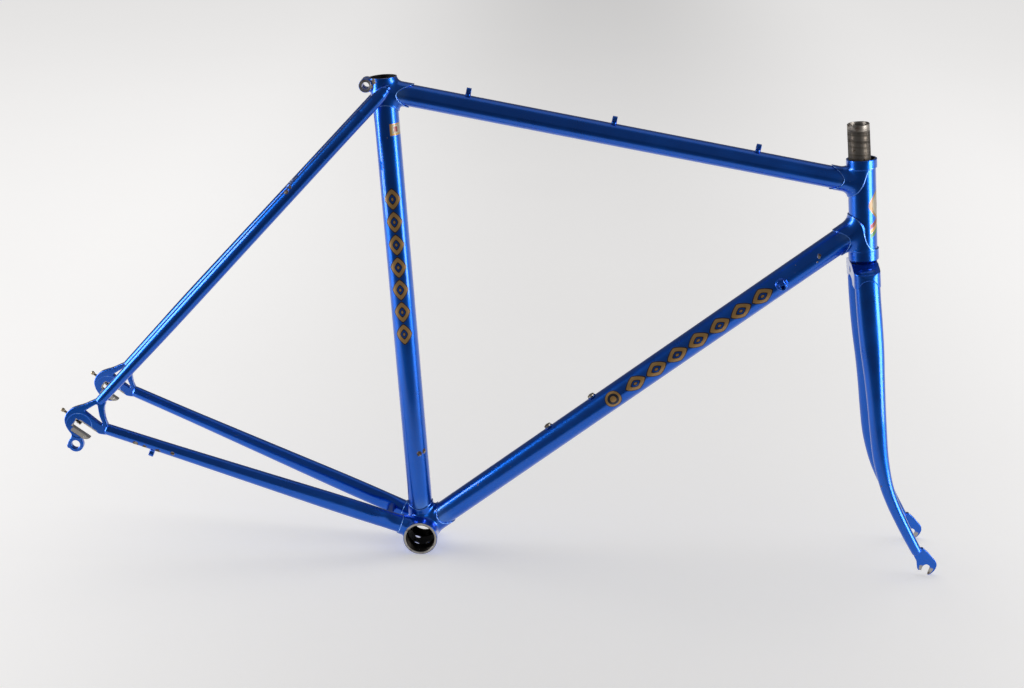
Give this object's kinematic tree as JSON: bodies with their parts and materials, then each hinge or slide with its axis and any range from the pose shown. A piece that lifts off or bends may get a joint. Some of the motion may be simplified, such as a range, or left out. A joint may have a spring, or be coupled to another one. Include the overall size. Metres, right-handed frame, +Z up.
{
  "type": "bicycle frame",
  "caption": "Lugged steel road bicycle frame with fork: round tubes, slotted rear dropouts with wheel adjusters, threaded steerer, bare and without headset, wheels or crank.",
  "frame": {"origin": "on the floor, under the middle of the bounding box; the frame stands on its bottom bracket shell and both fork ends as in the picture", "axes": "+X towards the front of the bicycle, +Y its left side, +Z up"},
  "size_m": [1.0282, 0.1464, 0.5726],
  "materials": {
    "blue_paint": "gloss metallic blue enamel",
    "bare_steel": "bare turned steel, darkened",
    "screw_steel": "plated steel, worn",
    "dark_steel": "blackened steel"
  },
  "bodies": {
    "frame": {"head_tube": "blue_paint", "upper_head_lug": "blue_paint", "lower_head_lug": "blue_paint", "top_tube": "blue_paint", "down_tube": "blue_paint", "seat_tube": "blue_paint", "seat_lug": "blue_paint", "bottom_bracket_shell": "blue_paint", "chainstay_left": "blue_paint", "chainstay_right": "blue_paint", "chainstay_bridge": "blue_paint", "seatstay_left": "blue_paint", "seatstay_right": "blue_paint", "seatstay_cap_left": "blue_paint", "seatstay_cap_right": "blue_paint", "brake_bridge": "blue_paint", "rear_dropout_left": "blue_paint", "rear_dropout_right": "blue_paint", "top_tube_cable_guide_rear": "blue_paint", "top_tube_cable_guide_middle": "blue_paint", "top_tube_cable_guide_front": "blue_paint", "chainstay_cable_stop": "blue_paint", "shifter_boss_left": "blue_paint", "shifter_boss_right": "blue_paint", "bottle_boss_lower": "blue_paint", "bottle_boss_upper": "blue_paint", "bottle_screw_lower": "screw_steel", "bottle_screw_upper": "screw_steel"},
    "fork": {"steerer_tube": "bare_steel", "fork_crown": "blue_paint", "fork_blade_left": "blue_paint", "fork_blade_right": "blue_paint", "fork_end_left": "blue_paint", "fork_end_right": "blue_paint"},
    "adjuster_spring_left": {"adjuster_spring_left": "dark_steel"},
    "adjuster_left": {"adjuster_screw_left": "dark_steel", "adjuster_cap_left": "screw_steel"},
    "adjuster_spring_right": {"adjuster_spring_right": "dark_steel"},
    "adjuster_right": {"adjuster_screw_right": "dark_steel", "adjuster_cap_right": "screw_steel"}
  },
  "joints": [
    {"name": "steering", "type": "hinge", "parent": "frame", "child": "fork", "pos_m": [0.41089, 0, 0.3703], "axis": [-0.1063, 0, 0.9943], "continuous": true},
    {"name": "adjuster_travel_left", "type": "slide", "parent": "frame", "child": "adjuster_spring_left", "axis": [0.7771, 0, -0.6293], "range_m": [0, 0.0033]},
    {"name": "adjuster_turn_left", "type": "hinge", "parent": "adjuster_spring_left", "child": "adjuster_left", "pos_m": [-0.5136, 0.0665, 0.1878], "axis": [0.7771, 0, -0.6293], "range_deg": [0, 2376]},
    {"name": "adjuster_travel_right", "type": "slide", "parent": "frame", "child": "adjuster_spring_right", "axis": [0.7771, 0, -0.6293], "range_m": [0, 0.0033]},
    {"name": "adjuster_turn_right", "type": "hinge", "parent": "adjuster_spring_right", "child": "adjuster_right", "pos_m": [-0.5136, -0.0665, 0.1878], "axis": [0.7771, 0, -0.6293], "range_deg": [0, 2376]}
  ],
  "couplings": [
    {"joint": "adjuster_turn_left", "follows": "adjuster_travel_left", "rad_per_m": 12566},
    {"joint": "adjuster_turn_right", "follows": "adjuster_travel_right", "rad_per_m": 12566}
  ]
}
